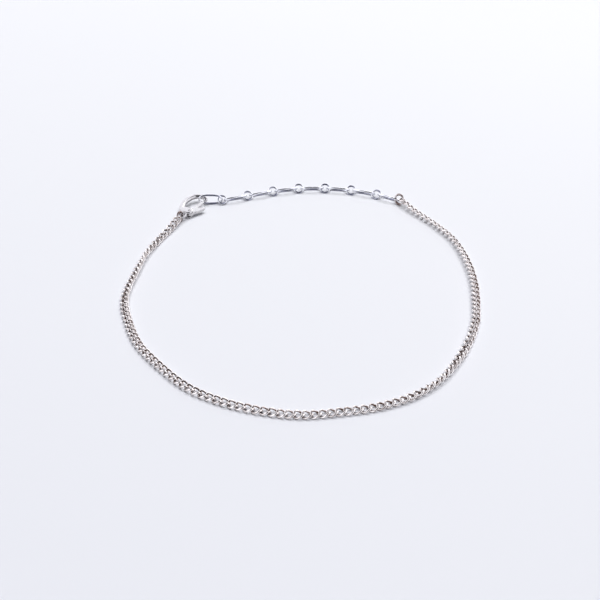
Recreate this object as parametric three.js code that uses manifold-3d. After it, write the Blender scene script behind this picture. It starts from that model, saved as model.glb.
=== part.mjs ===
import * as THREE from "three";
import { mergeVertices } from "three/addons/utils/BufferGeometryUtils.js";
import Module from "manifold-3d";

// A chain anklet, closed and lying in its loop on a surface at z = 0.
// A fine curb chain, an extender of round and long links, a lobster clasp and two jump rings.
// Millimetres, +Z up. The origin is under the middle of the loop.

// Loop, over the middle of the wire
const loopWidth = 76.1;
const loopDepth = 83.7;

// Curb chain: oval links twisted until the chain lies flat
const chainWire = 0.42;
const chainLinkLength = 2.44;
const chainLinkWidth = 2;
const chainTwist = -48; // degrees, each end against the middle, right-handed if positive
const chainWeld = 0.02; // how far touching links run into each other
const halvesGap = 0.05; // between the two halves of the chain where they interlock

// Extender
const extenderWire = 0.45;
const roundLinkSize = 2.55;
const longLinkLength = 6.1;
const longLinkWidth = 2.6;
const longLinkCount = 8;
const linkSlack = 0.11; // play where two loose links touch
const endSlack = 0.2; // the same where the standing end link meets the first round link

// Jump rings
const jumpWire = 0.54;
const jumpSize = 2.95;
const jumpSlack = 0.3; // play between a jump ring and the links in it
const lastSlack = 0.48; // the same for the last long link
const eyePlay = 0.05; // middle of the eye to the wire of the jump ring in it

// Lobster clasp, lying along x from the middle of its eye, its back towards +y
const claspLength = 9.7; // eye middle to far end
const claspWidth = 5.3; // back to hook tip
const claspThickness = 1.8;
const clawThickness = 1.1;
const clawBevel = 0.25;
const claspTilt = 4; // degrees that the back is raised
const claspPitch = 4.5; // degrees that the hook is raised
const eyeSize = 2.3;
const eyeHole = 1.5;
const eyeThickness = 0.75;
const eyeLift = 0.4; // middle of the eye above the middle of the clasp
const rivetSize = 0.5;
const rivetPlay = 0.06; // all round the rivet in the cheeks
const leverThickness = 0.7;
const leverHolePlay = 0.12; // all round the rivet in the lever
const leverPlay = 0.1; // each side of the lever in its slot
const leverGap = 0.12; // lever tip to hook tip
const seatGap = 0.46; // end link's wire to the inside of the hook
const seatOffset = 0.3; // from the hook's far end towards the back, where the end link hangs

// Meshing
const linkSides = 10;
const wireSides = 5;
const eyeSides = 12;
const rivetSides = 8;
const clawSteps = 12;

// Route of the loop over the middle of the wire, clockwise from above, starting in the hook.
// across: share of loopWidth, deep: share of loopDepth, roll: degrees the chain's face leans out.
const route = [
  { across: -0.336, deep: 0.424, roll: 0 },
  { across: -0.261, deep: 0.431, roll: 0 },
  { across: -0.181, deep: 0.454, roll: 0 },
  { across: -0.1, deep: 0.48, roll: 0 },
  { across: -0.014, deep: 0.498, roll: 0 },
  { across: 0.073, deep: 0.5, roll: 0 },
  { across: 0.158, deep: 0.49, roll: 0 },
  { across: 0.24, deep: 0.466, roll: 0 },
  { across: 0.314, deep: 0.429, roll: 36 },
  { across: 0.3595, deep: 0.3755, roll: 34 },
  { across: 0.4235, deep: 0.294, roll: 42 },
  { across: 0.4685, deep: 0.2155, roll: 40 },
  { across: 0.493, deep: 0.115, roll: 36 },
  { across: 0.5, deep: 0.02, roll: 30 },
  { across: 0.493, deep: -0.07, roll: 24 },
  { across: 0.479, deep: -0.155, roll: 20 },
  { across: 0.449, deep: -0.236, roll: 20 },
  { across: 0.406, deep: -0.313, roll: -22 },
  { across: 0.35, deep: -0.386, roll: -44 },
  { across: 0.282, deep: -0.4365, roll: -14 },
  { across: 0.193, deep: -0.472, roll: -4 },
  { across: 0.094, deep: -0.4905, roll: 0 },
  { across: -0.004, deep: -0.5, roll: 2 },
  { across: -0.102, deep: -0.486, roll: 2 },
  { across: -0.196, deep: -0.457, roll: -2 },
  { across: -0.285, deep: -0.41, roll: -8 },
  { across: -0.371, deep: -0.3285, roll: -8 },
  { across: -0.4375, deep: -0.245, roll: -4 },
  { across: -0.4815, deep: -0.143, roll: 5 },
  { across: -0.5, deep: -0.07, roll: 18 },
  { across: -0.498, deep: -0.009, roll: 26 },
  { across: -0.485, deep: 0.064, roll: 32 },
  { across: -0.4705, deep: 0.1365, roll: 48 },
  { across: -0.4415, deep: 0.215, roll: 0 },
  { across: -0.404, deep: 0.286, roll: -28 },
  { across: -0.384, deep: 0.328, roll: -16 },
];

// How each extender link leans out of the loop, in degrees, from the clasp on
const endLongLean = -83;
const endRoundLean = -30;
const longLean = 41;
const roundLean = -45;
const extenderJumpLean = -76;
const claspJumpLean = -86;

// Links that their neighbours hold off the surface: height of the middle, and slope along the route
const endLongHeight = 1.12; // far end of the link in the hook
const endRoundHeight = 1.03;
const endRoundSlope = -0.1;
const chainRise = 0.65; // first link beside a jump ring
const chainRiseReach = 7; // from there to where the chain lies down

// Claw of the clasp, along its middle from the pivot to the hook's tip.
// along: share of claspLength, across: share of claspWidth, half: half width as share of claspWidth.
const claw = [
  { along: 0.15, across: 0.0, half: 0.15 },
  { along: 0.24, across: 0.26, half: 0.138 },
  { along: 0.44, across: 0.41, half: 0.126 },
  { along: 0.68, across: 0.385, half: 0.119 },
  { along: 0.87, across: 0.21, half: 0.108 },
  { along: 0.945, across: -0.1, half: 0.104 },
  { along: 0.895, across: -0.3, half: 0.098 },
  { along: 0.815, across: -0.36, half: 0.085 },
];

// Outline of the pivot's cheeks, and of the lever with its thumb piece, in the same shares.
const cheeks = [
  { along: 0.075, across: 0.13 },
  { along: 0.2, across: 0.3 },
  { along: 0.3, across: 0.14 },
  { along: 0.29, across: -0.29 },
  { along: 0.2, across: -0.35 },
  { along: 0.1, across: -0.3 },
  { along: 0.075, across: -0.13 },
];
const leverEnd = 0.75;
const lever = [
  { along: 0.125, across: -0.09 },
  { along: 0.21, across: -0.1 },
  { along: leverEnd, across: -0.25 },
  { along: leverEnd, across: -0.42 },
  { along: 0.45, across: -0.35 },
  { along: 0.37, across: -0.39 },
  { along: 0.565, across: -0.565 },
  { along: 0.53, across: -0.655 },
  { along: 0.47, across: -0.655 },
  { along: 0.25, across: -0.45 },
  { along: 0.135, across: -0.33 },
  { along: 0.1, across: -0.22 },
];
const pivot = { along: 0.175, across: -0.185 };
const slotCorner = { along: 0.085, across: 0.03 };

const silver = new THREE.MeshStandardMaterial({ color: 0xc9c6c4, roughness: 0.25, metalness: 1 });
const brightSilver = new THREE.MeshStandardMaterial({ color: 0xe4e4e6, roughness: 0.2, metalness: 1 });

const wasm = await Module();
wasm.setup();

const { degToRad } = THREE.MathUtils;
const up = new THREE.Vector3(0, 0, 1);

function toSolid(geometry) {
  const bare = geometry.clone();
  bare.deleteAttribute("normal");
  bare.deleteAttribute("uv");
  const merged = mergeVertices(bare, 1e-5);
  const vertProperties = new Float32Array(merged.attributes.position.array);
  const triVerts = new Uint32Array(merged.index.array);
  return new wasm.Manifold(new wasm.Mesh({ numProp: 3, vertProperties, triVerts }));
}

function toGeometry(solid) {
  const mesh = solid.getMesh();
  const geometry = new THREE.BufferGeometry();
  geometry.setAttribute("position", new THREE.BufferAttribute(mesh.vertProperties, 3));
  geometry.setIndex(new THREE.BufferAttribute(mesh.triVerts, 1));
  geometry.computeVertexNormals();
  return geometry;
}

// A power that keeps the sign, for the outline of an oval between an ellipse and a box.
function signedPower(value, exponent) {
  return Math.sign(value) * Math.abs(value) ** exponent;
}

// Distance from a wire's middle to the corners of its section, so that the area is the round wire's.
function sectionRadius(wire) {
  const slice = (2 * Math.PI) / wireSides;
  return (wire / 2) * Math.sqrt(slice / Math.sin(slice));
}

// A wire link round the origin, long along x. Its ends are flats at halfLength, where links touch.
// The wire's section has a ridge on the link's inside (ridgeIn) or on its outside.
function linkGeometry({ halfLength, halfWidth, wire, squareness = 2, twist = 0, ridgeIn = false }) {
  const exponent = 2 / squareness;
  const endPoint = halfLength / Math.cos(Math.PI / linkSides) ** exponent;
  const middle = (step) => {
    const angle = ((step + 0.5) / linkSides) * 2 * Math.PI;
    const along = endPoint * signedPower(Math.cos(angle), exponent);
    const across = halfWidth * signedPower(Math.sin(angle), exponent);
    const turn = degToRad(twist) * (along / halfLength);
    const point = new THREE.Vector3(along, across * Math.cos(turn), across * Math.sin(turn));
    return { point, normal: new THREE.Vector3(0, -Math.sin(turn), Math.cos(turn)) };
  };
  const geometry = new THREE.TorusGeometry(halfLength, wire / 2, wireSides, linkSides);
  const position = geometry.attributes.position;
  const radius = sectionRadius(wire);
  for (let side = 0; side <= wireSides; side++) {
    const around = (side / wireSides) * 2 * Math.PI + (ridgeIn ? Math.PI : 0);
    for (let step = 0; step <= linkSides; step++) {
      const { point, normal } = middle(step);
      const arriving = point.clone().sub(middle(step - 1).point).normalize();
      const leaving = middle(step + 1).point.sub(point).normalize();
      const tangent = arriving.add(leaving).normalize();
      normal.addScaledVector(tangent, -normal.dot(tangent)).normalize();
      const outward = new THREE.Vector3().crossVectors(tangent, normal);
      const mitre = radius / tangent.dot(leaving);
      point.addScaledVector(outward, Math.cos(around) * mitre);
      point.addScaledVector(normal, Math.sin(around) * radius);
      position.setXYZ(side * (linkSides + 1) + step, point.x, point.y, point.z);
    }
  }
  return geometry;
}

// Route
const curve = new THREE.CatmullRomCurve3(
  route.map(({ across, deep }) => new THREE.Vector3(across * loopWidth, deep * loopDepth, 0)),
  true,
);
curve.arcLengthDivisions = 3000;
const routeLength = curve.getLength();

function routeFrame(distance) {
  const share = (((distance / routeLength) % 1) + 1) % 1;
  const parameter = curve.getUtoTmapping(share) * route.length;
  const row = Math.floor(parameter) % route.length;
  const next = (row + 1) % route.length;
  const roll = THREE.MathUtils.lerp(route[row].roll, route[next].roll, parameter % 1);
  return { point: curve.getPointAt(share), tangent: curve.getTangentAt(share), roll };
}

// A matrix that lays x along a direction, y out of the loop, and leans z outwards by an angle.
function pose(point, direction, lean) {
  const outward = new THREE.Vector3().crossVectors(up, direction).normalize();
  const top = new THREE.Vector3().crossVectors(direction, outward);
  const matrix = new THREE.Matrix4().makeBasis(direction, outward, top);
  matrix.multiply(new THREE.Matrix4().makeRotationX(-degToRad(lean)));
  return matrix.setPosition(point);
}

// Lays a geometry on the surface at a place on the route, or above it by a rise, with a slope.
function layDown(geometry, distance, lean, rise = 0, slope = 0) {
  const { point, tangent } = routeFrame(distance);
  const laid = geometry.clone().applyMatrix4(pose(point, tangent, lean));
  laid.computeBoundingBox();
  point.z = rise - laid.boundingBox.min.z;
  const direction = tangent.clone().setZ(slope).normalize();
  return geometry.clone().applyMatrix4(pose(point, direction, lean));
}

function piece(name, geometry, material) {
  const mesh = new THREE.Mesh(geometry, material);
  mesh.name = name;
  return mesh;
}

const anklet = new THREE.Group();

// Clasp in its own frame
function shapeOf(table) {
  const points = table.map(({ along, across }) => {
    return new THREE.Vector2(along * claspLength, across * claspWidth);
  });
  return new THREE.Shape(points);
}

function slab(shape, thickness, bevel = 0) {
  const geometry = new THREE.ExtrudeGeometry(shape, {
    depth: thickness - 2 * bevel,
    bevelEnabled: bevel > 0,
    bevelThickness: bevel,
    bevelSize: bevel,
    bevelOffset: -bevel,
    bevelSegments: 1,
    curveSegments: 5,
  });
  return geometry.translate(0, 0, -thickness / 2 + bevel);
}

function clawShape() {
  const spine = new THREE.SplineCurve(
    claw.map(({ along, across }) => new THREE.Vector2(along * claspLength, across * claspWidth)),
  );
  const outer = [];
  const inner = [];
  for (let step = 0; step <= clawSteps; step++) {
    const t = step / clawSteps;
    const place = t * (claw.length - 1);
    const row = Math.min(Math.floor(place), claw.length - 2);
    const half = THREE.MathUtils.lerp(claw[row].half, claw[row + 1].half, place - row) * claspWidth;
    const point = spine.getPoint(t);
    const tangent = spine.getTangent(t);
    const side = new THREE.Vector2(-tangent.y, tangent.x).multiplyScalar(half);
    outer.push(point.clone().add(side));
    inner.unshift(point.clone().sub(side));
  }
  return new THREE.Shape([...outer, ...inner]);
}

function rod(diameter, length, sides) {
  return new THREE.CylinderGeometry(diameter / 2, diameter / 2, length, sides).rotateX(Math.PI / 2);
}

const pivotX = pivot.along * claspLength;
const pivotY = pivot.across * claspWidth;
const throughCut = 2 * claspThickness;

function rivetHole(play) {
  return toSolid(rod(rivetSize + 2 * play, throughCut, rivetSides)).translate([pivotX, pivotY, 0]);
}

// A block over the lever's side of the clasp, from a place along it to past its far end.
function leverSide(start, height) {
  const block = new THREE.BoxGeometry(claspLength, claspWidth, height);
  block.translate(start + claspLength / 2, slotCorner.across * claspWidth - claspWidth / 2, 0);
  return toSolid(block);
}

function claspBody() {
  const eye = toSolid(rod(eyeSize, eyeThickness, eyeSides)).translate([0, 0, eyeLift]);
  const eyeCut = toSolid(rod(eyeHole, throughCut, eyeSides));
  const slotHeight = leverThickness + 2 * leverPlay;
  const slot = leverSide(slotCorner.along * claspLength, slotHeight);
  const hookTip = leverSide(leverEnd * claspLength + leverGap, throughCut);
  return toSolid(slab(clawShape(), clawThickness, clawBevel))
    .add(toSolid(slab(shapeOf(cheeks), claspThickness)))
    .add(eye)
    .subtract(eyeCut)
    .subtract(rivetHole(rivetPlay))
    .subtract(slot.subtract(hookTip));
}

function claspLever() {
  return toSolid(slab(shapeOf(lever), leverThickness)).subtract(rivetHole(leverHolePlay));
}

const claspRivet = toSolid(rod(rivetSize, claspThickness, rivetSides)).translate([pivotX, pivotY, 0]);
const claspSolids = { clasp_body: claspBody(), clasp_lever: claspLever(), clasp_rivet: claspRivet };

// Where the hook reaches furthest, and the middle of the wire that hangs inside it there
const hookEnd = claw.reduce((far, row) => (row.along > far.along ? row : far));
const seatAlong = hookEnd.along * claspLength - hookEnd.half * claspWidth - extenderWire / 2 - seatGap;
const seat = new THREE.Vector3(seatAlong, hookEnd.across * claspWidth + seatOffset, 0);

// Places along the route, from the hook clockwise
const longHalf = (longLinkLength - extenderWire) / 2;
const roundHalf = (roundLinkSize - extenderWire) / 2;
const jumpHalf = (jumpSize - jumpWire) / 2;
const chainHalf = (chainLinkLength - chainWire) / 2;
const extenderStep = longHalf + roundHalf - extenderWire - linkSlack;

// Clasp on its eye, turned so that its seat comes to the start of the route
const eyeFrame = routeFrame(-seat.x);
const claspDirection = routeFrame(0).point.clone().sub(eyeFrame.point).normalize();
claspDirection.z = Math.tan(degToRad(claspPitch));
const claspPose = pose(eyeFrame.point, claspDirection.normalize(), -claspTilt);
const claspPieces = Object.entries(claspSolids).map(([name, solid]) => {
  return piece(name, toGeometry(solid).applyMatrix4(claspPose), brightSilver);
});
const claspBox = new THREE.Box3();
for (const mesh of claspPieces) claspBox.expandByObject(mesh, true);
for (const mesh of claspPieces) mesh.geometry.translate(0, 0, -claspBox.min.z);
anklet.add(...claspPieces);

// Extender
const longLink = linkGeometry({
  halfLength: longHalf,
  halfWidth: (longLinkWidth - extenderWire) / 2,
  wire: extenderWire,
  squareness: 2.4,
});
const roundLink = linkGeometry({ halfLength: roundHalf, halfWidth: roundHalf, wire: extenderWire });
const jumpRing = linkGeometry({ halfLength: jumpHalf, halfWidth: jumpHalf, wire: jumpWire });

// The end link stands in the hook, and the first round link hangs between it and the next one
const seatPoint = seat.clone().applyMatrix4(claspPose);
seatPoint.z -= claspBox.min.z;
const firstRound = 2 * longHalf + roundHalf - extenderWire - endSlack;
const roundFrame = routeFrame(firstRound);
const roundPoint = roundFrame.point.clone().setZ(endRoundHeight);
const roundDirection = roundFrame.tangent.clone().setZ(endRoundSlope).normalize();
const farEnd = roundPoint.clone().addScaledVector(roundDirection, 2 * longHalf - firstRound);
const endDirection = farEnd.setZ(endLongHeight).sub(seatPoint).normalize();
const endPlace = seatPoint.clone().addScaledVector(endDirection, longHalf);
const endLongLink = longLink.clone().applyMatrix4(pose(endPlace, endDirection, endLongLean));
const endRoundLink = roundLink.clone().applyMatrix4(pose(roundPoint, roundDirection, endRoundLean));
anklet.add(piece("long_link_1", endLongLink, brightSilver));
anklet.add(piece("round_link_1", endRoundLink, brightSilver));

for (let count = 2; count <= longLinkCount; count++) {
  const place = firstRound + (2 * count - 3) * extenderStep;
  anklet.add(piece(`long_link_${count}`, layDown(longLink, place, longLean), brightSilver));
  if (count < longLinkCount) {
    const next = layDown(roundLink, place + extenderStep, roundLean);
    anklet.add(piece(`round_link_${count}`, next, brightSilver));
  }
}

const wiresAtJump = (extenderWire + jumpWire) / 2 + lastSlack;
const lastLong = firstRound + (2 * longLinkCount - 3) * extenderStep;
const extenderJumpPlace = lastLong + longHalf + jumpHalf - wiresAtJump;
anklet.add(piece("extender_jump_ring", layDown(jumpRing, extenderJumpPlace, extenderJumpLean), silver));

// Curb chain in two halves, one from each jump ring
const jumpToChain = jumpHalf + chainHalf - (chainWire + jumpWire) / 2 - jumpSlack;
const claspJumpPlace = -seat.x - jumpHalf - eyePlay;
const chainStart = extenderJumpPlace + jumpToChain;
const chainEnd = routeLength + claspJumpPlace - jumpToChain;
const chainPitch = chainLinkLength - 2 * chainWire;
const meeting = chainWeld + halvesGap;
const chainSteps = Math.round((chainEnd - chainStart + meeting) / chainPitch);
const pitchUsed = (chainEnd - chainStart + meeting) / chainSteps;
const rightLinks = Math.ceil((chainSteps + 1) / 2);
const leftLinks = chainSteps + 1 - rightLinks;
const chainLink = linkGeometry({
  halfLength: (pitchUsed - chainWeld) / 2 + sectionRadius(chainWire),
  halfWidth: (chainLinkWidth - chainWire) / 2,
  wire: chainWire,
  squareness: 2.6,
  twist: chainTwist,
  ridgeIn: true,
});

// Links from one end of the chain, where it rises to its jump ring. towards is 1 along the route or -1.
function chainHalfSolid(links, start, towards) {
  const solids = [];
  for (let link = 0; link < links; link++) {
    const place = start + towards * link * pitchUsed;
    const raised = Math.max(0, 1 - (link * pitchUsed) / chainRiseReach);
    const slope = (-2 * towards * chainRise * raised) / chainRiseReach;
    const { roll } = routeFrame(place);
    solids.push(toSolid(layDown(chainLink, place, roll, chainRise * raised ** 2, slope)));
  }
  return toGeometry(wasm.Manifold.union(solids));
}

const rightHalf = chainHalfSolid(rightLinks, chainStart, 1);
const leftHalf = chainHalfSolid(leftLinks, chainEnd, -1);
anklet.add(piece("main_chain_right", rightHalf, silver));
anklet.add(piece("main_chain_left", leftHalf, silver));
anklet.add(piece("clasp_jump_ring", layDown(jumpRing, routeLength + claspJumpPlace, claspJumpLean), silver));

export default anklet;
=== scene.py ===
import math
import random

import bpy
import numpy as np
from mathutils import Matrix, Vector

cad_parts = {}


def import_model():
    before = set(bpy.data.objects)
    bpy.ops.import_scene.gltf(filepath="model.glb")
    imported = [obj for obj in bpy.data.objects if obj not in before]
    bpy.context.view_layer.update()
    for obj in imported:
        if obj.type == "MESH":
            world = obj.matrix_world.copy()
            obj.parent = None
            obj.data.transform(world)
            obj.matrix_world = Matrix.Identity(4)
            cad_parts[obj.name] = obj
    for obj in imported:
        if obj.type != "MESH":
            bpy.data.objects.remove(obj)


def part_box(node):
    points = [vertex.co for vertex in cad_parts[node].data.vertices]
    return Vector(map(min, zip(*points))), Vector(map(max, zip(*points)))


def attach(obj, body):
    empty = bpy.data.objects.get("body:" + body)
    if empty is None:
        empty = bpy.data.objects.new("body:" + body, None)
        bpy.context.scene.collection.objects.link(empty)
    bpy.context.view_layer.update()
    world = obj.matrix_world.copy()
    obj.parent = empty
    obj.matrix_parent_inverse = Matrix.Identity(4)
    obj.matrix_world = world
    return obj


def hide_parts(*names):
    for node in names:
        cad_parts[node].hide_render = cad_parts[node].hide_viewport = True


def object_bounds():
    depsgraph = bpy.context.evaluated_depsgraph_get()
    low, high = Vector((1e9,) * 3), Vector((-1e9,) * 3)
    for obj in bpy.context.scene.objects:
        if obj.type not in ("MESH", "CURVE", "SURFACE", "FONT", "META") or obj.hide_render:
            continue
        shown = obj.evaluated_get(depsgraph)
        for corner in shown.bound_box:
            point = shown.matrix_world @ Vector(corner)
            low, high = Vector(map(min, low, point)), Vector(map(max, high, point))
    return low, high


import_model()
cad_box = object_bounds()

# A chain anklet lying closed in its loop: curb chain, extender, lobster clasp and jump rings.
# Metres, +Z up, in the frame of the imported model.

# Camera
CAMERA_PLACE = Vector((-0.00031, -0.17908, 0.12704))
CAMERA_TARGET = Vector((-0.00031, -0.00486, 0.0))
CAMERA_LENS = 59.86
CAMERA_SENSOR = 36
CAMERA_CLIP = 0.01

# Loop, over the middle of the wire
LOOP_WIDTH = 0.0761
LOOP_DEPTH = 0.0837

# Curb chain
CHAIN_WIRE = 0.00042
CHAIN_LINK_LENGTH = 0.00244
CHAIN_LINK_WIDTH = 0.002
CHAIN_TWIST = -48
CHAIN_SQUARENESS = 2.6
CHAIN_OVERLAP = 0.00007
CHAIN_RISE = 0.00065
CHAIN_RISE_REACH = 0.007
ROLL_PLAY = 3.0
ASIDE_PLAY = 2.0

# Extender
EXTENDER_WIRE = 0.00045
ROUND_LINK_SIZE = 0.00255
LONG_LINK_LENGTH = 0.0061
LONG_LINK_WIDTH = 0.0026
LONG_LINK_SQUARENESS = 2.4
LONG_LINK_COUNT = 8
LINK_SLACK = 0.00011
END_SLACK = 0.0002
END_LONG_LEAN = -83
END_LONG_HEIGHT = 0.00112
END_ROUND_LEAN = -30
END_ROUND_HEIGHT = 0.00103
END_ROUND_SLOPE = -0.1
LONG_LEAN = 41
ROUND_LEAN = -45
ROUND_SEAM = 0.2

# Jump rings
JUMP_WIRE = 0.00054
JUMP_SIZE = 0.00295
JUMP_SLACK = 0.0003
JUMP_SEAM = 0.25
LAST_SLACK = 0.00048
EYE_PLAY = 0.00005
EXTENDER_JUMP_LEAN = -76
CLASP_JUMP_LEAN = -86

# Lobster clasp, lying along x from the middle of its eye, its back towards +y
CLASP_LENGTH = 0.0097
CLASP_WIDTH = 0.0053
CLASP_THICKNESS = 0.0018
CLASP_TILT = 4
CLASP_PITCH = 4.5
CLAW_THICKNESS = 0.0011
CLAW_SQUARENESS = 2.5
CLAW_BLUNTNESS = 0.15
CHEEK_ROUNDING = 0.00028
EYE_SIZE = 0.0023
EYE_HOLE = 0.0015
EYE_THICKNESS = 0.00075
EYE_LIFT = 0.0004
RIVET_SIZE = 0.0005
RIVET_PLAY = 0.00006
RIVET_DOME = 0.35
LEVER_THICKNESS = 0.0007
GATE_ROUNDING = 0.00018
THUMB_ROUNDING = 0.0002
LEVER_HOLE_PLAY = 0.00012
LEVER_PLAY = 0.0001
LEVER_GAP = 0.00012
SEAT_GAP = 0.00046
SEAT_OFFSET = 0.0003

# How fine the surfaces are
LINK_STEPS = 44
LINK_SIDES = 12
RING_STEPS = 72
RING_SIDES = 16
CLAW_STEPS = 60
CLAW_SIDES = 24
EYE_STEPS = 48
EYE_SIDES = 20
ROD_SIDES = 40
EDGE_ANGLES = (90, 65, 45, 25, 0)
DOME_ANGLES = (6, 25, 45, 65, 90)
CORNER_CUTS = 3
CORNER_SHARES = (0.82, 0.18)
ROUTE_SAMPLES = 3000
CLASP_VOXEL = 0.00004
LEVER_VOXEL = 0.00003
CLASP_POLISH = 5
LEVER_POLISH = 4
POLISH_FACTOR = 0.5

# Route of the loop over the middle of the wire, clockwise from above, starting in the hook:
# share of the loop's width, share of its depth, degrees that the chain's face leans out
ROUTE = [
    (-0.336, 0.424, 0),
    (-0.261, 0.431, 0),
    (-0.181, 0.454, 0),
    (-0.1, 0.48, 0),
    (-0.014, 0.498, 0),
    (0.073, 0.5, 0),
    (0.158, 0.49, 0),
    (0.24, 0.466, 0),
    (0.314, 0.429, 36),
    (0.3595, 0.3755, 34),
    (0.4235, 0.294, 42),
    (0.4685, 0.2155, 40),
    (0.493, 0.115, 36),
    (0.5, 0.02, 30),
    (0.493, -0.07, 24),
    (0.479, -0.155, 20),
    (0.449, -0.236, 20),
    (0.406, -0.313, -22),
    (0.35, -0.386, -44),
    (0.282, -0.4365, -14),
    (0.193, -0.472, -4),
    (0.094, -0.4905, 0),
    (-0.004, -0.5, 2),
    (-0.102, -0.486, 2),
    (-0.196, -0.457, -2),
    (-0.285, -0.41, -8),
    (-0.371, -0.3285, -8),
    (-0.4375, -0.245, -4),
    (-0.4815, -0.143, 5),
    (-0.5, -0.07, 18),
    (-0.498, -0.009, 26),
    (-0.485, 0.064, 32),
    (-0.4705, 0.1365, 48),
    (-0.4415, 0.215, 0),
    (-0.404, 0.286, -28),
    (-0.384, 0.328, -16),
]

# Claw along its middle: share of the clasp's length, share of its width, half width as share of it
CLAW = [
    (0.15, 0.0, 0.15),
    (0.24, 0.26, 0.138),
    (0.44, 0.41, 0.126),
    (0.68, 0.385, 0.119),
    (0.87, 0.21, 0.108),
    (0.945, -0.1, 0.104),
    (0.895, -0.3, 0.098),
    (0.815, -0.36, 0.085),
]

# Outlines in the same shares
CHEEKS = [(0.075, 0.13), (0.2, 0.3), (0.3, 0.14), (0.29, -0.29), (0.2, -0.35), (0.1, -0.3), (0.075, -0.13)]
LEVER_END = 0.75
GATE = [(0.125, -0.09), (0.21, -0.1), (LEVER_END, -0.25), (LEVER_END, -0.42), (0.45, -0.35), (0.25, -0.42),
        (0.135, -0.33), (0.1, -0.22)]
THUMB_PIECE = [(0.2, -0.2), (0.37, -0.3), (0.565, -0.565), (0.53, -0.655), (0.47, -0.655), (0.25, -0.45)]
PIVOT = (0.175, -0.185)
SLOT_CORNER = (0.085, 0.03)

UP = Vector((0, 0, 1))
SEED = 7
random.seed(SEED)


# Meshes

def make_object(name, vertices, faces, layers=None):
    mesh = bpy.data.meshes.new(name)
    mesh.from_pydata(np.asarray(vertices).reshape(-1, 3).tolist(), [], faces)
    mesh.update()
    mesh.polygons.foreach_set("use_smooth", [True] * len(mesh.polygons))
    for layer, values in (layers or {}).items():
        attribute = mesh.attributes.new(layer, "FLOAT", "POINT")
        attribute.data.foreach_set("value", np.asarray(values, np.float32).ravel())
    thing = bpy.data.objects.new(name, mesh)
    bpy.context.scene.collection.objects.link(thing)
    return thing


def ring_faces(steps, sides, start=0, closed=True):
    """Quads between sections that follow each other, each section a ring of corners."""
    faces = []
    for step in range(steps if closed else steps - 1):
        here = start + step * sides
        there = start + (step + 1) % steps * sides
        for side in range(sides):
            after = (side + 1) % sides
            faces.append((here + side, there + side, there + after, here + after))
    return faces


def signed_power(value, exponent):
    return np.sign(value) * np.abs(value) ** exponent


def wire_link(half_length, half_width, wire, steps, sides, squareness=2.0, twist=0.0, seam=0.0):
    """Corners of a wire link round the origin, long along x, with two shares for each corner:
    how far it faces inside the link, which masks painted shade, and how far it is from the ends that rub
    on other links, which masks a painted dark reflection."""
    angle = (np.arange(steps) + 0.5) / steps * 2 * np.pi
    exponent = 2 / squareness
    along = half_length * signed_power(np.cos(angle), exponent)
    across = half_width * signed_power(np.sin(angle), exponent)
    turn = np.radians(twist) * along / half_length
    middle = np.stack([along, across * np.cos(turn), across * np.sin(turn)], axis=1)
    tangent = np.roll(middle, -1, axis=0) - np.roll(middle, 1, axis=0)
    tangent /= np.linalg.norm(tangent, axis=1, keepdims=True)
    normal = np.stack([np.zeros(steps), -np.sin(turn), np.cos(turn)], axis=1)
    normal -= tangent * np.sum(normal * tangent, axis=1, keepdims=True)
    normal /= np.linalg.norm(normal, axis=1, keepdims=True)
    outward = np.cross(tangent, normal)
    around = np.arange(sides) / sides * 2 * np.pi
    radius = np.full(steps, wire / 2)
    radius[0] *= 1 - seam
    corners = middle[:, None, :]
    corners = corners + outward[:, None, :] * (np.cos(around)[None, :, None] * radius[:, None, None])
    corners = corners + normal[:, None, :] * (np.sin(around)[None, :, None] * radius[:, None, None])
    inside = np.tile(0.5 - 0.5 * np.cos(around), (steps, 1))
    away_from_ends = np.repeat(1 - (along / half_length) ** 2, sides)
    return corners.reshape(-1, 3), {"inside": inside.ravel(), "away_from_ends": away_from_ends}


def moved(corners, matrix):
    turn = np.array(matrix)
    return corners @ turn[:3, :3].T + turn[:3, 3]


# Route

def route_cubics():
    points = np.array([(across * LOOP_WIDTH, deep * LOOP_DEPTH) for across, deep, _ in ROUTE])
    before, after, beyond = (np.roll(points, shift, axis=0) for shift in (1, -1, -2))

    def knot(start, end):
        return np.sqrt(np.linalg.norm(end - start, axis=1, keepdims=True))

    first, middle, last = knot(before, points), knot(points, after), knot(after, beyond)
    leaving = (points - before) / first - (after - before) / (first + middle) + (after - points) / middle
    arriving = (after - points) / middle - (beyond - points) / (middle + last) + (beyond - after) / last
    leaving, arriving = leaving * middle, arriving * middle
    return [points, leaving, 3 * (after - points) - 2 * leaving - arriving,
            2 * (points - after) + leaving + arriving]


CUBICS = route_cubics()


def route_point(parameter, slope=False):
    """Point of the route at a parameter, which counts its rows, or the route's slope there."""
    row = int(parameter) % len(ROUTE)
    share = parameter - int(parameter)
    c0, c1, c2, c3 = (cubic[row] for cubic in CUBICS)
    if slope:
        return c1 + share * (2 * c2 + share * 3 * c3)
    return c0 + share * (c1 + share * (c2 + share * c3))


SAMPLED = np.linspace(0, len(ROUTE), ROUTE_SAMPLES + 1)
SAMPLED_POINTS = np.array([route_point(parameter) for parameter in SAMPLED])
TRAVELLED = np.concatenate([[0], np.cumsum(np.linalg.norm(np.diff(SAMPLED_POINTS, axis=0), axis=1))])
ROUTE_LENGTH = TRAVELLED[-1]


def route_frame(distance):
    """Point, direction and roll of the route at a distance from the hook."""
    parameter = float(np.interp(distance % ROUTE_LENGTH, TRAVELLED, SAMPLED)) % len(ROUTE)
    row = int(parameter)
    share = parameter - row
    roll = ROUTE[row][2] * (1 - share) + ROUTE[(row + 1) % len(ROUTE)][2] * share
    point = Vector((*route_point(parameter), 0))
    return point, Vector((*route_point(parameter, slope=True), 0)).normalized(), roll


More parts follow.
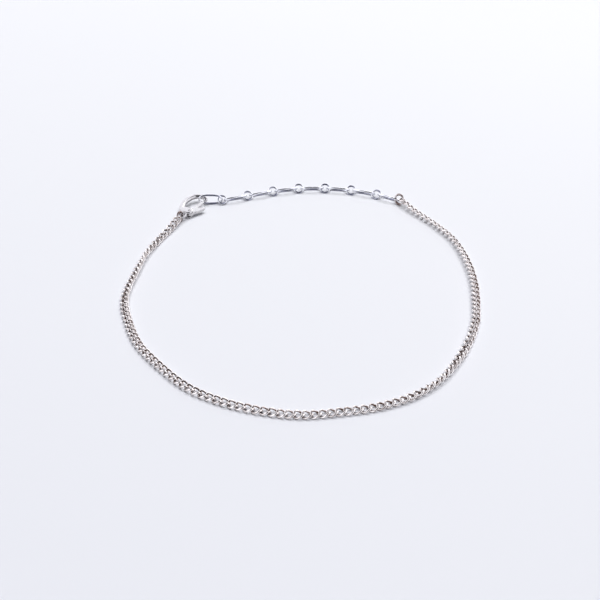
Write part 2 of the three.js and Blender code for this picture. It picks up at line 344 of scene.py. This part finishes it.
def pose(point, direction, lean):
    """Lays x along a direction and y out of the loop, and leans z outwards by an angle."""
    outward = UP.cross(direction).normalized()
    top = direction.cross(outward)
    turn = Matrix((direction, outward, top)).transposed().to_4x4()
    return Matrix.Translation(point) @ turn @ Matrix.Rotation(-math.radians(lean), 4, "X")


def lay_down(corners, distance, lean, rise=0.0, slope=0.0, aside=0.0):
    """Corners laid on the surface at a place on the route, or above it by a rise, with a slope."""
    point, direction, _ = route_frame(distance)
    direction = Matrix.Rotation(math.radians(aside), 3, "Z") @ direction
    lowest = moved(corners, pose(point, direction, lean))[:, 2].min()
    point.z = rise - lowest
    sloping = Vector((direction.x, direction.y, slope)).normalized()
    return moved(corners, pose(point, sloping, lean))


# Places along the route, from the hook clockwise
LONG_HALF = (LONG_LINK_LENGTH - EXTENDER_WIRE) / 2
ROUND_HALF = (ROUND_LINK_SIZE - EXTENDER_WIRE) / 2
JUMP_HALF = (JUMP_SIZE - JUMP_WIRE) / 2
CHAIN_HALF = (CHAIN_LINK_LENGTH - CHAIN_WIRE) / 2
EXTENDER_STEP = LONG_HALF + ROUND_HALF - EXTENDER_WIRE - LINK_SLACK
FIRST_ROUND = 2 * LONG_HALF + ROUND_HALF - EXTENDER_WIRE - END_SLACK
LAST_LONG = FIRST_ROUND + (2 * LONG_LINK_COUNT - 3) * EXTENDER_STEP
EXTENDER_JUMP_PLACE = LAST_LONG + LONG_HALF + JUMP_HALF - (EXTENDER_WIRE + JUMP_WIRE) / 2 - LAST_SLACK

# Seat of the end link in the clasp's frame, inside the hook where it is farthest from the eye
HOOK_END = max(CLAW)
SEAT = Vector((
    HOOK_END[0] * CLASP_LENGTH - HOOK_END[2] * CLASP_WIDTH - EXTENDER_WIRE / 2 - SEAT_GAP,
    HOOK_END[1] * CLASP_WIDTH + SEAT_OFFSET,
    0,
))

# Places of the curb chain's two ends and the number of its links
JUMP_TO_CHAIN = JUMP_HALF + CHAIN_HALF - (CHAIN_WIRE + JUMP_WIRE) / 2 - JUMP_SLACK
CLASP_JUMP_PLACE = ROUTE_LENGTH - SEAT.x - JUMP_HALF - EYE_PLAY
CHAIN_START = EXTENDER_JUMP_PLACE + JUMP_TO_CHAIN
CHAIN_END = CLASP_JUMP_PLACE - JUMP_TO_CHAIN
CHAIN_REACH = CHAIN_END - CHAIN_START + CHAIN_OVERLAP
CHAIN_STEPS = round(CHAIN_REACH / (CHAIN_LINK_LENGTH - 2 * CHAIN_WIRE))
CHAIN_PITCH = CHAIN_REACH / CHAIN_STEPS
RIGHT_LINKS = math.ceil((CHAIN_STEPS + 1) / 2)
LEFT_LINKS = CHAIN_STEPS + 1 - RIGHT_LINKS


# Materials

def node_tree(name):
    material = bpy.data.materials.new(name)
    material.use_nodes = True
    tree = material.node_tree
    return material, tree, tree.nodes["Principled BSDF"]


def noise(tree, coordinates, scale, detail, stretch=(1, 1, 1)):
    mapping = tree.nodes.new("ShaderNodeMapping")
    mapping.inputs["Scale"].default_value = stretch
    tree.links.new(coordinates, mapping.inputs["Vector"])
    texture = tree.nodes.new("ShaderNodeTexNoise")
    texture.inputs["Scale"].default_value = scale
    texture.inputs["Detail"].default_value = detail
    tree.links.new(mapping.outputs["Vector"], texture.inputs["Vector"])
    return texture.outputs["Fac"]


def remap(tree, value, low, high, to_low, to_high):
    node = tree.nodes.new("ShaderNodeMapRange")
    for socket, number in zip(("From Min", "From Max", "To Min", "To Max"), (low, high, to_low, to_high)):
        node.inputs[socket].default_value = number
    tree.links.new(value, node.inputs["Value"])
    return node.outputs["Result"]


def calculated(tree, operation, *values):
    node = tree.nodes.new("ShaderNodeMath")
    node.operation = operation
    node.use_clamp = True
    for value, socket in zip(values, node.inputs):
        tree.links.new(value, socket)
    return node.outputs[0]


def dot(tree, vector, towards):
    node = tree.nodes.new("ShaderNodeVectorMath")
    node.operation = "DOT_PRODUCT"
    node.inputs[1].default_value = towards
    tree.links.new(vector, node.inputs[0])
    return node.outputs["Value"]


def mixed(tree, share, first, second):
    node = tree.nodes.new("ShaderNodeMix")
    node.data_type = "RGBA"
    node.inputs["A"].default_value = (*first, 1)
    node.inputs["B"].default_value = (*second, 1)
    tree.links.new(share, node.inputs["Factor"])
    return node.outputs["Result"]


def attribute(tree, name):
    node = tree.nodes.new("ShaderNodeAttribute")
    node.attribute_name = name
    return node.outputs["Fac"]


# Tarnish in random patches: size and detail of its patches, where they begin and end in the noise, and
# their strength, then where the painted shade begins and ends inside the links, and the painted dark
# reflection away from where they rub
PATCH_SCALE = 900
PATCH_DETAIL = 3
PATCH_EDGE = (0.42, 0.72)
PATCH_SHARE = 0.55
INSIDE_SHADE_EDGE = (0.35, 1.0)
DARK_REFLECTION_EDGE = (0.3, 0.8)

# Polish: its uneven smears, and fine scratches
SMEAR_SCALE = 1600
SMEAR_DETAIL = 4
SMEAR_EDGE = (0.3, 0.7)
SCRATCH_SCALE = 9000
SCRATCH_DETAIL = 2
SCRATCH_STRETCH = (1, 0.25, 1)
SCRATCH_DEPTH = 0.00001


def silver(name, colour, tarnish_and_shade, inside_shade, dark_reflection_share, roughness, scratch):
    """Polished metal with fine scratches, tarnished in patches, with painted shade inside the links and a
    painted dark reflection away from where they rub.
    """
    material, tree, shader = node_tree(name)
    coordinates = tree.nodes.new("ShaderNodeTexCoord").outputs["Object"]
    patches = remap(tree, noise(tree, coordinates, PATCH_SCALE, PATCH_DETAIL), *PATCH_EDGE, 0, PATCH_SHARE)
    # Painted shade: darker where the wire faces inside the link, where links shade each other
    inside = remap(tree, attribute(tree, "inside"), *INSIDE_SHADE_EDGE, 0, inside_shade)
    # Painted dark reflection: darker along the link's sides, away from its ends
    away_from_ends = remap(tree, attribute(tree, "away_from_ends"), *DARK_REFLECTION_EDGE, 0, dark_reflection_share)
    # Random tarnish patches plus the painted shade and the painted dark reflection
    tarnish_and_shade_share = calculated(tree, "ADD", calculated(tree, "ADD", patches, inside), away_from_ends)
    tree.links.new(mixed(tree, tarnish_and_shade_share, colour, tarnish_and_shade), shader.inputs["Base Color"])
    smear = noise(tree, coordinates, SMEAR_SCALE, SMEAR_DETAIL)
    tree.links.new(remap(tree, smear, *SMEAR_EDGE, *roughness), shader.inputs["Roughness"])
    shader.inputs["Metallic"].default_value = 1.0
    bump = tree.nodes.new("ShaderNodeBump")
    bump.inputs["Strength"].default_value = scratch
    bump.inputs["Distance"].default_value = SCRATCH_DEPTH
    scratches = noise(tree, coordinates, SCRATCH_SCALE, SCRATCH_DETAIL, SCRATCH_STRETCH)
    tree.links.new(scratches, bump.inputs["Height"])
    tree.links.new(bump.outputs["Normal"], shader.inputs["Normal"])
    return material


# The second colour of each silver is tarnish in random patches, and also painted shade inside the links
# and painted dark reflection away from their ends, in the shares given
chain_silver = silver(
    "chain_silver", colour=(0.91, 0.86, 0.835), tarnish_and_shade=(0.14, 0.08, 0.06),
    inside_shade=0.85, dark_reflection_share=0.0, roughness=(0.05, 0.16), scratch=0.2)
ring_silver = silver(
    "ring_silver", colour=(0.76, 0.715, 0.70), tarnish_and_shade=(0.16, 0.115, 0.105),
    inside_shade=0.5, dark_reflection_share=0.75, roughness=(0.06, 0.18), scratch=0.2)
extender_silver = silver(
    "extender_silver", colour=(0.92, 0.92, 0.94), tarnish_and_shade=(0.29, 0.295, 0.38),
    inside_shade=0.0, dark_reflection_share=0.75, roughness=(0.05, 0.14), scratch=0.15)
clasp_silver = silver(
    "clasp_silver", colour=(0.58, 0.566, 0.57), tarnish_and_shade=(0.46, 0.43, 0.43),
    inside_shade=0.0, dark_reflection_share=0.0, roughness=(0.12, 0.25), scratch=0.3)
# The gate is the clasp's silver painted a little lighter: a painted highlight
lit_gate_silver = silver(
    "lit_gate_silver", colour=(0.60, 0.59, 0.59), tarnish_and_shade=(0.48, 0.46, 0.46),
    inside_shade=0.0, dark_reflection_share=0.0, roughness=(0.12, 0.25), scratch=0.3)


def finished(thing, material, node, body="anklet"):
    thing.data.materials.clear()
    thing.data.materials.append(material)
    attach(thing, body)
    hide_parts(node)


# Extender and jump rings

def loose_link(node, corners, shares, material):
    thing = make_object(node + "_wire", corners, ring_faces(RING_STEPS, RING_SIDES), shares)
    finished(thing, material, node)


def clasp_pose():
    """The clasp on its eye, turned so that its seat comes to the start of the route."""
    eye_point = route_frame(-SEAT.x)[0]
    direction = (route_frame(0)[0] - eye_point).normalized()
    direction.z = math.tan(math.radians(CLASP_PITCH))
    flat = pose(eye_point, direction.normalized(), -CLASP_TILT)
    low = min(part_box(node)[0].z for node in ("clasp_body", "clasp_lever", "clasp_rivet"))
    half = CLASP_THICKNESS / 2
    lowest = min((flat @ Vector((x * CLASP_LENGTH, y * CLASP_WIDTH, -half))).z for x, y in CHEEKS)
    return Matrix.Translation((0, 0, low - lowest)) @ flat


CLASP_POSE = clasp_pose()


def extender():
    long_corners, long_shares = wire_link(
        LONG_HALF, (LONG_LINK_WIDTH - EXTENDER_WIRE) / 2, EXTENDER_WIRE, RING_STEPS, RING_SIDES,
        squareness=LONG_LINK_SQUARENESS)
    round_corners, round_shares = wire_link(
        ROUND_HALF, ROUND_HALF, EXTENDER_WIRE, RING_STEPS, RING_SIDES, seam=ROUND_SEAM)
    # The links that lie down get their painted dark reflection towards their outer side
    outer = np.clip(0.5 + long_corners[:, 1] / (LONG_LINK_WIDTH - EXTENDER_WIRE), 0, 1)
    lying_shares = {"inside": long_shares["inside"], "away_from_ends": long_shares["away_from_ends"] * outer}

    seat_point = CLASP_POSE @ SEAT
    point, direction, _ = route_frame(FIRST_ROUND)
    point.z = END_ROUND_HEIGHT
    direction = Vector((direction.x, direction.y, END_ROUND_SLOPE)).normalized()
    far_end = point + direction * (2 * LONG_HALF - FIRST_ROUND)
    far_end.z = END_LONG_HEIGHT
    end_direction = (far_end - seat_point).normalized()
    end_place = seat_point + end_direction * LONG_HALF
    end_long = moved(long_corners, pose(end_place, end_direction, END_LONG_LEAN))
    end_round = moved(round_corners, pose(point, direction, END_ROUND_LEAN))
    loose_link("long_link_1", end_long, long_shares, extender_silver)
    loose_link("round_link_1", end_round, round_shares, extender_silver)
    for count in range(2, LONG_LINK_COUNT + 1):
        place = FIRST_ROUND + (2 * count - 3) * EXTENDER_STEP
        laid = lay_down(long_corners, place, LONG_LEAN)
        loose_link(f"long_link_{count}", laid, lying_shares, extender_silver)
        if count < LONG_LINK_COUNT:
            laid = lay_down(round_corners, place + EXTENDER_STEP, ROUND_LEAN)
            loose_link(f"round_link_{count}", laid, round_shares, extender_silver)


def jump_rings():
    corners, shares = wire_link(JUMP_HALF, JUMP_HALF, JUMP_WIRE, RING_STEPS, RING_SIDES, seam=JUMP_SEAM)
    for node, place, lean in (
        ("extender_jump_ring", EXTENDER_JUMP_PLACE, EXTENDER_JUMP_LEAN),
        ("clasp_jump_ring", CLASP_JUMP_PLACE, CLASP_JUMP_LEAN),
    ):
        loose_link(node, lay_down(corners, place, lean), shares, ring_silver)


# Curb chain

def chain_half(node, links, start, towards):
    """One half of the chain, link by link from a jump ring, each a little out of line as in real chain."""
    link, shares = wire_link(
        (CHAIN_PITCH + CHAIN_WIRE) / 2, (CHAIN_LINK_WIDTH - CHAIN_WIRE) / 2, CHAIN_WIRE,
        LINK_STEPS, LINK_SIDES, squareness=CHAIN_SQUARENESS, twist=CHAIN_TWIST)
    corners, faces = [], []
    for count in range(links):
        place = start + towards * count * CHAIN_PITCH
        raised = max(0.0, 1 - count * CHAIN_PITCH / CHAIN_RISE_REACH)
        slope = -2 * towards * CHAIN_RISE * raised / CHAIN_RISE_REACH
        roll = route_frame(place)[2] + random.uniform(-ROLL_PLAY, ROLL_PLAY)
        aside = random.uniform(-ASIDE_PLAY, ASIDE_PLAY)
        faces.extend(ring_faces(LINK_STEPS, LINK_SIDES, start=count * LINK_STEPS * LINK_SIDES))
        corners.append(lay_down(link, place, roll, CHAIN_RISE * raised ** 2, slope, aside))
    layers = {layer: np.tile(values, links) for layer, values in shares.items()}
    thing = make_object(node + "_links", np.concatenate(corners), faces, layers)
    finished(thing, chain_silver, node)


# Clasp in its own frame

def apply_modifiers(thing):
    evaluated = thing.evaluated_get(bpy.context.evaluated_depsgraph_get())
    mesh = bpy.data.meshes.new_from_object(evaluated)
    thing.modifiers.clear()
    thing.data = mesh


def joined(thing, other, operation):
    """Joins or cuts a closed solid with another, which is used up."""
    modifier = thing.modifiers.new(operation, "BOOLEAN")
    modifier.operation = operation
    modifier.solver = "EXACT"
    modifier.object = other
    apply_modifiers(thing)
    bpy.data.objects.remove(other)


def cast_surface(thing, voxel, passes):
    """One even skin over a joined solid, with its edges rounded as on a polished casting."""
    remesh = thing.modifiers.new("skin", "REMESH")
    remesh.mode = "VOXEL"
    remesh.voxel_size = voxel
    smooth = thing.modifiers.new("polish", "SMOOTH")
    smooth.factor = POLISH_FACTOR
    smooth.iterations = passes
    apply_modifiers(thing)
    thing.data.polygons.foreach_set("use_smooth", [True] * len(thing.data.polygons))


def closed_loft(name, sections):
    """A closed solid through sections with equal numbers of corners, capped at both ends."""
    sides = len(sections[0])
    faces = ring_faces(len(sections), sides, closed=False)
    last = (len(sections) - 1) * sides
    faces.append(tuple(range(sides)))
    faces.append(tuple(last + side for side in reversed(range(sides))))
    return make_object(name, np.array(sections), faces)


def claw_middle(share):
    """Point, direction and half width of the claw at a share of its length."""
    rows = np.array(CLAW) * (CLASP_LENGTH, CLASP_WIDTH, CLASP_WIDTH)
    place = share * (len(rows) - 1)
    row = min(int(place), len(rows) - 2)
    part = place - row
    neighbours = np.clip(np.arange(row - 1, row + 3), 0, len(rows) - 1)
    before, here, after, beyond = rows[neighbours, :2]
    leaving, arriving = (after - before) / 2, (beyond - here) / 2
    c2 = 3 * (after - here) - 2 * leaving - arriving
    c3 = 2 * (here - after) + leaving + arriving
    point = here + part * (leaving + part * (c2 + part * c3))
    direction = leaving + part * (2 * c2 + part * 3 * c3)
    half = rows[row][2] * (1 - part) + rows[row + 1][2] * part
    return point, direction / np.linalg.norm(direction), half


def claw_solid():
    """The claw as a rounded bar that tapers to a round tip."""
    shares = np.linspace(0, 1, CLAW_STEPS)
    middles = [claw_middle(share) for share in shares]
    points = np.array([point for point, _, _ in middles])
    left = np.concatenate([[0], np.cumsum(np.linalg.norm(np.diff(points, axis=0), axis=1))])
    left = left[-1] - left
    around = np.arange(CLAW_SIDES) / CLAW_SIDES * 2 * np.pi
    sections = []
    for (point, direction, half), to_tip in zip(middles, left):
        tip = min(1.0, to_tip / half)
        size = max(CLAW_BLUNTNESS, math.sqrt(1 - (1 - tip) ** 2))
        side = np.array([-direction[1], direction[0]])
        out = signed_power(np.cos(around), 2 / CLAW_SQUARENESS) * half * size
        height = signed_power(np.sin(around), 2 / CLAW_SQUARENESS) * CLAW_THICKNESS / 2 * size
        sections.append(np.column_stack([point + out[:, None] * side, height]))
    return closed_loft("claw", sections)


def rounded_outline(outline):
    """An outline in shares as points in the clasp's frame, its corners cut round."""
    points = np.array(outline) * (CLASP_LENGTH, CLASP_WIDTH)
    near, far = CORNER_SHARES
    for _ in range(CORNER_CUTS):
        after = np.roll(points, -1, axis=0)
        cut = [points * near + after * far, points * far + after * near]
        points = np.stack(cut, axis=1).reshape(-1, 2)
    return points


def pillow(name, outline, thickness, rounding):
    """A plate with this outline, its edges rounded over."""
    points = rounded_outline(outline)
    middle = points.mean(axis=0)
    reach = np.linalg.norm(points - middle, axis=1).mean()
    sections = []
    for side, angles in ((1, EDGE_ANGLES), (-1, EDGE_ANGLES[::-1])):
        for angle in np.radians(angles):
            height = side * (thickness / 2 - rounding + rounding * math.sin(angle))
            inset = rounding * (1 - math.cos(angle)) / reach
            layer = middle + (points - middle) * (1 - inset)
            sections.append(np.column_stack([layer, np.full(len(layer), height)]))
    return closed_loft(name, sections)


def rod(name, profile):
    """A turned solid round the z axis from pairs of radius and height, top to bottom."""
    around = np.arange(ROD_SIDES) / ROD_SIDES * 2 * np.pi
    sections = [
        np.column_stack([radius * np.cos(around), radius * np.sin(around), np.full(ROD_SIDES, height)])
        for radius, height in profile
    ]
    return closed_loft(name, sections)


def block(name, low, high):
    corners = ((low[0], low[1]), (high[0], low[1]), (high[0], high[1]), (low[0], high[1]))
    return closed_loft(name, [[(*corner, z) for corner in corners] for z in (high[2], low[2])])


PIVOT_X = PIVOT[0] * CLASP_LENGTH
PIVOT_Y = PIVOT[1] * CLASP_WIDTH


def hole(name, radius, x, y):
    cutter = rod(name, [(radius, CLASP_THICKNESS), (radius, -CLASP_THICKNESS)])
    cutter.data.transform(Matrix.Translation((x, y, 0)))
    return cutter


def eye_ring():
    """The eye, oval in section."""
    wall = (EYE_SIZE - EYE_HOLE) / 2
    radius = (EYE_SIZE - wall) / 2
    corners, _ = wire_link(radius, radius, wall, EYE_STEPS, EYE_SIDES)
    corners = corners * (1, 1, EYE_THICKNESS / wall) + (0, 0, EYE_LIFT)
    return make_object("eye", corners, ring_faces(EYE_STEPS, EYE_SIDES))


def clasp_body():
    body = claw_solid()
    joined(body, pillow("cheeks", CHEEKS, CLASP_THICKNESS, CHEEK_ROUNDING), "UNION")
    joined(body, hole("eye_hole", EYE_HOLE / 2, 0, 0), "DIFFERENCE")
    joined(body, eye_ring(), "UNION")
    half_slot = LEVER_THICKNESS / 2 + LEVER_PLAY
    top = SLOT_CORNER[1] * CLASP_WIDTH
    slot_end = LEVER_END * CLASP_LENGTH + LEVER_GAP
    slot_start = SLOT_CORNER[0] * CLASP_LENGTH
    slot = block("slot", (slot_start, -CLASP_WIDTH, -half_slot), (slot_end, top, half_slot))
    joined(body, slot, "DIFFERENCE")
    joined(body, hole("rivet_hole", RIVET_SIZE / 2 + RIVET_PLAY, PIVOT_X, PIVOT_Y), "DIFFERENCE")
    cast_surface(body, CLASP_VOXEL, CLASP_POLISH)
    return body


def clasp_lever():
    lever = pillow("gate", GATE, LEVER_THICKNESS, GATE_ROUNDING)
    joined(lever, pillow("thumb_piece", THUMB_PIECE, LEVER_THICKNESS, THUMB_ROUNDING), "UNION")
    joined(lever, hole("lever_hole", RIVET_SIZE / 2 + LEVER_HOLE_PLAY, PIVOT_X, PIVOT_Y), "DIFFERENCE")
    cast_surface(lever, LEVER_VOXEL, LEVER_POLISH)
    return lever


def clasp_rivet():
    """The rivet, its ends filed to low domes."""
    radius, half = RIVET_SIZE / 2, CLASP_THICKNESS / 2
    dome = [(radius * math.sin(angle), half - radius * RIVET_DOME * (1 - math.cos(angle)))
            for angle in map(math.radians, DOME_ANGLES)]
    rivet = rod("rivet", dome + [(radius, -height) for radius, height in reversed(dome)])
    rivet.data.transform(Matrix.Translation((PIVOT_X, PIVOT_Y, 0)))
    return rivet


def clasp():
    for node, thing, material, body in (
        ("clasp_body", clasp_body(), clasp_silver, "anklet"),
        ("clasp_lever", clasp_lever(), lit_gate_silver, "lever"),
        ("clasp_rivet", clasp_rivet(), clasp_silver, "anklet"),
    ):
        thing.name = node + "_cast"
        thing.data.transform(CLASP_POSE)
        finished(thing, material, node, body)


# Floor, light and camera

# Floor: its pale colour with a painted light falloff, shaded in front on the left and lit behind on the
# right, and where one turns into the other
FLOOR_HALF = 0.6
FLOOR_GAP = 0.00001
FLOOR_ROUGHNESS = 0.75
FLOOR_SHADED_FRONT = (0.728, 0.738, 0.802)
FLOOR_LIT_BACK = (0.805, 0.812, 0.858)
FLOOR_LIGHT_TURN = (-0.13, 0.16)
FLOOR_LIGHT_TOWARDS = Vector((0.35, 0.94, 0.0))


def floor():
    half = FLOOR_HALF
    thing = make_object("floor", [(-half, -half, 0), (half, -half, 0), (half, half, 0), (-half, half, 0)],
                        [(0, 1, 2, 3)])
    thing.location.z = cad_box[0].z - FLOOR_GAP
    material, tree, shader = node_tree("floor")
    coordinates = tree.nodes.new("ShaderNodeTexCoord").outputs["Object"]
    # Painted light falloff: the floor grows lighter towards the back on the right
    share = remap(tree, dot(tree, coordinates, FLOOR_LIGHT_TOWARDS), *FLOOR_LIGHT_TURN, 0, 1)
    tree.links.new(mixed(tree, share, FLOOR_SHADED_FRONT, FLOOR_LIT_BACK), shader.inputs["Base Color"])
    shader.inputs["Roughness"].default_value = FLOOR_ROUGHNESS
    thing.data.materials.append(material)


# Small soft light from behind on the right
WINDOW_PLACE = (0.466, 0.999, 0.689)
WINDOW_SIZE = 0.87
WINDOW_ENERGY = 2.0
WINDOW_COLOUR = (1.0, 0.985, 0.88)

# Wide soft light from above, the main light on the floor, left out of the reflections
CEILING_PLACE = (0.22, 0.22, 2.4)
CEILING_SIZE = 2.88
CEILING_ENERGY = 82.0
CEILING_COLOUR = (1.0, 1.0, 1.0)

# Surroundings, seen in the metal alone: white, with a dark band from behind the camera over the top, as
# between two soft boxes
BAND_TOWARDS = Vector((0.0, -0.8, 0.6))
BAND_EDGE = (0.30, 0.62)
BAND_END = (-0.05, 0.3)
BRIGHT = (0.94, 0.955, 1.02)
DARK = (0.02, 0.02, 0.026)
SURROUNDINGS_STRENGTH = 1.56


def world():
    surroundings = bpy.data.worlds.new("studio")
    surroundings.use_nodes = True
    bpy.context.scene.world = surroundings
    tree = surroundings.node_tree
    background = tree.nodes["Background"]
    direction = tree.nodes.new("ShaderNodeTexCoord").outputs["Generated"]
    axes = tree.nodes.new("ShaderNodeSeparateXYZ")
    tree.links.new(direction, axes.inputs[0])
    aside = calculated(tree, "ABSOLUTE", axes.outputs["X"])
    across = remap(tree, aside, *BAND_EDGE, 1, 0)
    along = remap(tree, dot(tree, direction, BAND_TOWARDS), *BAND_END, 0, 1)
    share = calculated(tree, "MULTIPLY", across, along)
    tree.links.new(mixed(tree, share, BRIGHT, DARK), background.inputs["Color"])
    background.inputs["Strength"].default_value = SURROUNDINGS_STRENGTH
    surroundings.cycles_visibility.diffuse = False


def area_light(name, place, size, energy, colour, in_reflections=True):
    light = bpy.data.lights.new(name, "AREA")
    light.shape = "DISK"
    light.size = size
    light.energy = energy
    light.color = colour
    thing = bpy.data.objects.new(name, light)
    thing.location = place
    thing.rotation_euler = (-Vector(place)).to_track_quat("-Z", "Y").to_euler()
    thing.visible_glossy = in_reflections
    bpy.context.scene.collection.objects.link(thing)


def camera():
    lens = bpy.data.cameras.new("camera")
    lens.lens = CAMERA_LENS
    lens.sensor_width = CAMERA_SENSOR
    lens.clip_start = CAMERA_CLIP
    thing = bpy.data.objects.new("camera", lens)
    thing.location = CAMERA_PLACE
    thing.rotation_euler = (CAMERA_TARGET - CAMERA_PLACE).to_track_quat("-Z", "Y").to_euler()
    bpy.context.scene.collection.objects.link(thing)
    bpy.context.scene.camera = thing


camera()
extender()
jump_rings()
chain_half("main_chain_right", RIGHT_LINKS, CHAIN_START, 1)
chain_half("main_chain_left", LEFT_LINKS, CHAIN_END, -1)
clasp()
floor()
world()
area_light("window", WINDOW_PLACE, WINDOW_SIZE, WINDOW_ENERGY, WINDOW_COLOUR)
area_light("ceiling", CEILING_PLACE, CEILING_SIZE, CEILING_ENERGY, CEILING_COLOUR, in_reflections=False)
bpy.context.scene.view_settings.view_transform = "Standard"
